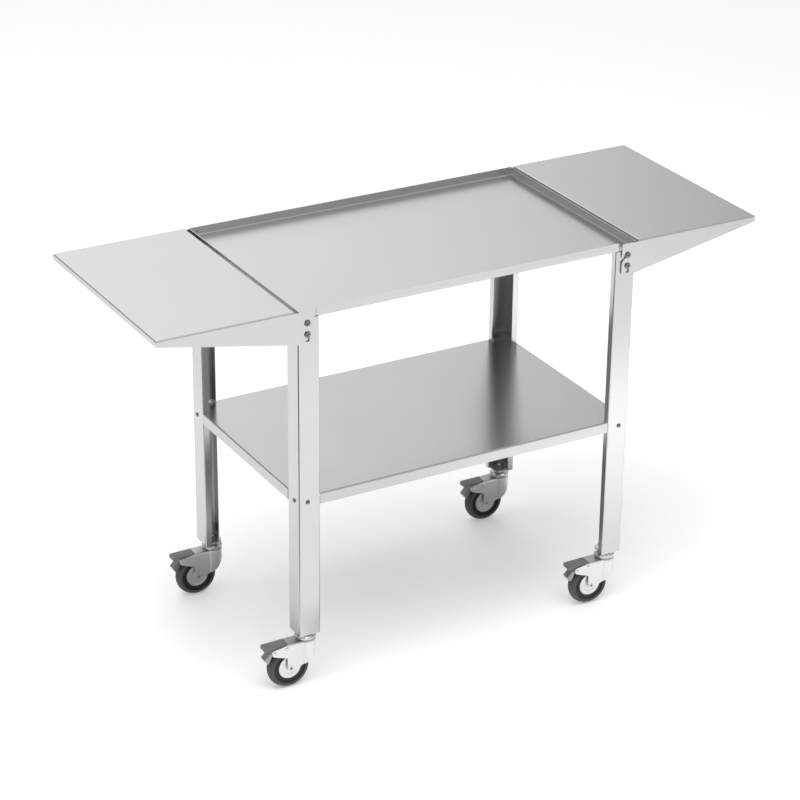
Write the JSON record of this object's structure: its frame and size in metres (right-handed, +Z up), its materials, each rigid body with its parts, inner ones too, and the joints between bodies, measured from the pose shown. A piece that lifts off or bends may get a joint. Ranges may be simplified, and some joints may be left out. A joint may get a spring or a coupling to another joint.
{
  "type": "griddle cart",
  "caption": "Wheeled stainless cart with a shallow griddle tray, lower shelf, fold-down side shelves and braked castors.",
  "frame": {"origin": "on the floor under the middle of the cart", "axes": "+X along the length to the right shelf, +Y to the back, +Z up"},
  "size_m": [1.308, 0.481, 0.798],
  "materials": {
    "stainless": "brushed",
    "fastener": "bright",
    "chrome": "polished",
    "zinc": "zinc plated",
    "tyre": "matte rubber",
    "pedal_plastic": "moulded",
    "bush_plastic": "moulded"
  },
  "bodies": {
    "cart_frame": {"tray": "stainless", "lower_shelf": "stainless", "front_left_leg": "stainless", "front_left_shelf_bracket": "stainless", "front_right_leg": "stainless", "front_right_shelf_bracket": "stainless", "rear_left_leg": "stainless", "rear_left_shelf_bracket": "stainless", "rear_right_leg": "stainless", "rear_right_shelf_bracket": "stainless", "tray_studs": "fastener", "tray_stud_nuts": "fastener", "bracket_screws": "fastener", "bracket_screw_nuts": "fastener", "lower_shelf_studs": "fastener", "lower_shelf_stud_nuts": "fastener", "lock_studs": "fastener", "pivot_studs": "fastener", "stud_nuts": "fastener", "stud_cap_nuts": "chrome", "castor_stem_nuts": "fastener", "front_left_castor_head": "chrome", "front_right_castor_head": "chrome", "rear_left_castor_head": "chrome", "rear_right_castor_head": "chrome"},
    "front_left_fork": {"front_left_castor_fork": "zinc", "front_left_castor_axle": "zinc", "front_left_brake_pins": "zinc"},
    "front_left_wheel": {"front_left_castor_tyre": "tyre", "front_left_castor_hub": "zinc"},
    "front_left_pedal": {"front_left_brake_lever": "zinc", "front_left_pedal_pad": "pedal_plastic"},
    "front_right_fork": {"front_right_castor_fork": "zinc", "front_right_castor_axle": "zinc", "front_right_brake_pins": "zinc"},
    "front_right_wheel": {"front_right_castor_tyre": "tyre", "front_right_castor_hub": "zinc"},
    "front_right_pedal": {"front_right_brake_lever": "zinc", "front_right_pedal_pad": "pedal_plastic"},
    "rear_left_fork": {"rear_left_castor_fork": "zinc", "rear_left_castor_axle": "zinc", "rear_left_brake_pins": "zinc"},
    "rear_left_wheel": {"rear_left_castor_tyre": "tyre", "rear_left_castor_hub": "zinc"},
    "rear_left_pedal": {"rear_left_brake_lever": "zinc", "rear_left_pedal_pad": "pedal_plastic"},
    "rear_right_fork": {"rear_right_castor_fork": "zinc", "rear_right_castor_axle": "zinc", "rear_right_brake_pins": "zinc"},
    "rear_right_wheel": {"rear_right_castor_tyre": "tyre", "rear_right_castor_hub": "zinc"},
    "rear_right_pedal": {"rear_right_brake_lever": "zinc", "rear_right_pedal_pad": "pedal_plastic"},
    "left_pivot": {"left_pivot_bushes": "bush_plastic"},
    "left_shelf": {"left_side_shelf": "stainless"},
    "right_pivot": {"right_pivot_bushes": "bush_plastic"},
    "right_shelf": {"right_side_shelf": "stainless"}
  },
  "joints": [
    {"name": "front_left_swivel", "type": "hinge", "parent": "cart_frame", "child": "front_left_fork", "pos_m": [-0.3465, -0.2085, 0.1], "axis": [0, 0, 1], "continuous": true},
    {"name": "front_left_wheel_spin", "type": "hinge", "parent": "front_left_fork", "child": "front_left_wheel", "pos_m": [-0.3855, -0.2085, 0.04375], "axis": [0, 1, 0], "continuous": true},
    {"name": "front_left_brake", "type": "hinge", "parent": "front_left_fork", "child": "front_left_pedal", "pos_m": [-0.4199, -0.2085, 0.0859], "axis": [0, -1, 0], "range_deg": [0, 9]},
    {"name": "front_right_swivel", "type": "hinge", "parent": "cart_frame", "child": "front_right_fork", "pos_m": [0.3465, -0.2085, 0.1], "axis": [0, 0, 1], "continuous": true},
    {"name": "front_right_wheel_spin", "type": "hinge", "parent": "front_right_fork", "child": "front_right_wheel", "pos_m": [0.3075, -0.2085, 0.04375], "axis": [0, 1, 0], "continuous": true},
    {"name": "front_right_brake", "type": "hinge", "parent": "front_right_fork", "child": "front_right_pedal", "pos_m": [0.2731, -0.2085, 0.0859], "axis": [0, -1, 0], "range_deg": [0, 9]},
    {"name": "rear_left_swivel", "type": "hinge", "parent": "cart_frame", "child": "rear_left_fork", "pos_m": [-0.3465, 0.2085, 0.1], "axis": [0, 0, 1], "continuous": true},
    {"name": "rear_left_wheel_spin", "type": "hinge", "parent": "rear_left_fork", "child": "rear_left_wheel", "pos_m": [-0.3855, 0.2085, 0.04375], "axis": [0, 1, 0], "continuous": true},
    {"name": "rear_left_brake", "type": "hinge", "parent": "rear_left_fork", "child": "rear_left_pedal", "pos_m": [-0.4199, 0.2085, 0.0859], "axis": [0, -1, 0], "range_deg": [0, 9]},
    {"name": "rear_right_swivel", "type": "hinge", "parent": "cart_frame", "child": "rear_right_fork", "pos_m": [0.3465, 0.2085, 0.1], "axis": [0, 0, 1], "continuous": true},
    {"name": "rear_right_wheel_spin", "type": "hinge", "parent": "rear_right_fork", "child": "rear_right_wheel", "pos_m": [0.3075, 0.2085, 0.04375], "axis": [0, 1, 0], "continuous": true},
    {"name": "rear_right_brake", "type": "hinge", "parent": "rear_right_fork", "child": "rear_right_pedal", "pos_m": [0.2731, 0.2085, 0.0859], "axis": [0, -1, 0], "range_deg": [0, 9]},
    {"name": "left_shelf_fold", "type": "hinge", "parent": "cart_frame", "child": "left_pivot", "pos_m": [-0.351, 0, 0.749], "axis": [0, -1, 0], "range_deg": [0, 90]},
    {"name": "left_shelf_lift", "type": "slide", "parent": "left_pivot", "child": "left_shelf", "axis": [0, 0, 1], "range_m": [0, 0.011]},
    {"name": "right_shelf_fold", "type": "hinge", "parent": "cart_frame", "child": "right_pivot", "pos_m": [0.351, 0, 0.749], "axis": [0, 1, 0], "range_deg": [0, 90]},
    {"name": "right_shelf_lift", "type": "slide", "parent": "right_pivot", "child": "right_shelf", "axis": [0, 0, 1], "range_m": [0, 0.011]}
  ],
  "couplings": [
    {"joint": "left_shelf_lift", "follows": "left_shelf_fold", "m_per_rad": 0.0070021},
    {"joint": "right_shelf_lift", "follows": "right_shelf_fold", "m_per_rad": 0.0070021}
  ]
}
